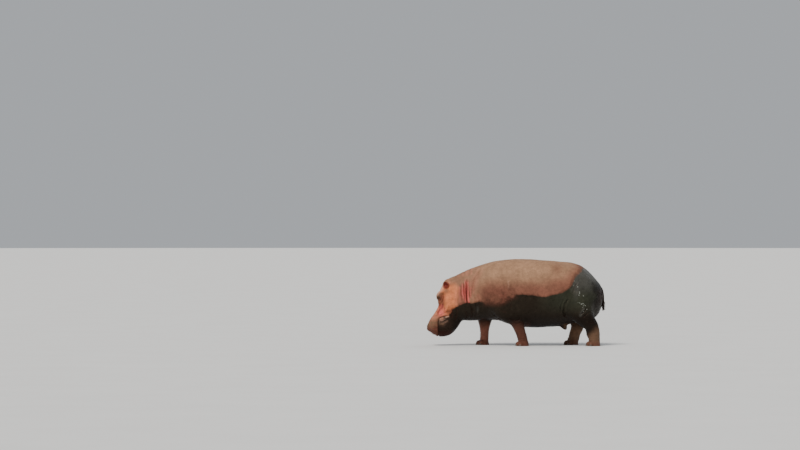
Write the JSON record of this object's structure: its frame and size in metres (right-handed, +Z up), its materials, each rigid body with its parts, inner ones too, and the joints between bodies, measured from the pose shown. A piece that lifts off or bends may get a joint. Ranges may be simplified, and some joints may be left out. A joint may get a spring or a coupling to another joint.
{
  "type": "hippopotamus",
  "caption": "Life-size still model of an adult bull hippopotamus walking with its head held low, parted into head, jaw, neck, trunk, legs, tail, ears, eyes and toenails.",
  "frame": {"origin": "floor level, under the middle of the whole animal's bounding box", "axes": "+Z up, -X the way the animal faces, -Y its left side"},
  "size_m": [2.9988, 1.0894, 1.464],
  "materials": {
    "hide_dry": "dry, pinkish tan bare skin",
    "hide_wet": "wet, nearly black bare skin",
    "hide_leg": "damp, reddish brown bare skin",
    "hide_ear": "thin reddish skin",
    "eye": "glossy, dark brown",
    "nail": "dull horn"
  },
  "bodies": {
    "root": {"head": "hide_dry", "neck": "hide_dry", "trunk": "hide_dry", "lower_jaw": "hide_wet", "tail": "hide_wet", "foreleg_left": "hide_leg", "foreleg_left_nail_1": "nail", "foreleg_left_nail_2": "nail", "foreleg_left_nail_3": "nail", "foreleg_left_nail_4": "nail", "foreleg_right": "hide_leg", "foreleg_right_nail_1": "nail", "foreleg_right_nail_2": "nail", "foreleg_right_nail_3": "nail", "foreleg_right_nail_4": "nail", "hindleg_left": "hide_leg", "hindleg_left_nail_1": "nail", "hindleg_left_nail_2": "nail", "hindleg_left_nail_3": "nail", "hindleg_left_nail_4": "nail", "hindleg_right": "hide_leg", "hindleg_right_nail_1": "nail", "hindleg_right_nail_2": "nail", "hindleg_right_nail_3": "nail", "hindleg_right_nail_4": "nail", "ear_left": "hide_ear", "eye_left": "eye", "ear_right": "hide_ear", "eye_right": "eye"}
  },
  "joints": []
}
